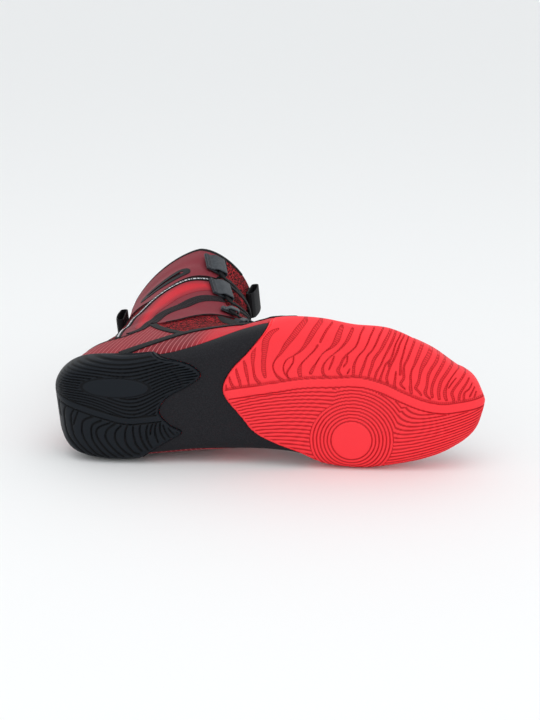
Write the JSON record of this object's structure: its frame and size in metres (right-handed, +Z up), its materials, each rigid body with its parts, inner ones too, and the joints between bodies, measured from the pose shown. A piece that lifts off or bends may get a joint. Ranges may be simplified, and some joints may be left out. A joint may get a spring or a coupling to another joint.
{
  "type": "boxing shoe",
  "caption": "High boxing shoe for the right foot: knitted boot with ripstop wings, lace tabs and a two-piece ribbed rubber sole, lying on its inner side.",
  "frame": {"origin": "bottom centre of the box around the lying shoe, on the floor under its middle", "axes": "+X towards the toe, +Y from the sole towards the collar, +Z up, away from the floor, which is the shoe's outer side"},
  "size_m": [0.2856, 0.267, 0.1008],
  "materials": {
    "knit": "red and black speckled knit",
    "lining": "dark brushed lining",
    "red_rubber": "satin red rubber with fine ribs",
    "black_rubber": "satin blue-black rubber with fine ribs",
    "satin": "smooth black coated textile",
    "ripstop": "thin dark red ripstop with a pinstripe",
    "bright_ripstop": "thin red ripstop",
    "tape": "black woven tape",
    "webbing": "rubberised grey webbing",
    "lace": "black flat lace"
  },
  "bodies": {
    "root": {"upper": "knit", "tongue": "knit", "insole": "lining", "outsole_forefoot": "red_rubber", "outsole_heel": "black_rubber", "midfoot_wrap": "satin", "heel_counter": "ripstop", "upper_wing": "ripstop", "eyestay": "tape", "collar_binding": "tape", "laces": "lace", "heel_pull": "tape", "tongue_pull": "tape", "side_panel_outer": "ripstop", "side_band_outer": "tape", "ankle_strap_outer": "ripstop", "lower_wing_outer": "bright_ripstop", "lace_tab_outer_1": "webbing", "lace_tab_outer_2": "webbing", "lace_tab_outer_3": "webbing", "lace_tab_outer_4": "webbing", "lace_tab_outer_5": "webbing", "side_panel_inner": "ripstop", "side_band_inner": "tape", "ankle_strap_inner": "ripstop", "lower_wing_inner": "bright_ripstop", "lace_tab_inner_1": "webbing", "lace_tab_inner_2": "webbing", "lace_tab_inner_3": "webbing", "lace_tab_inner_4": "webbing", "lace_tab_inner_5": "webbing"}
  },
  "joints": []
}
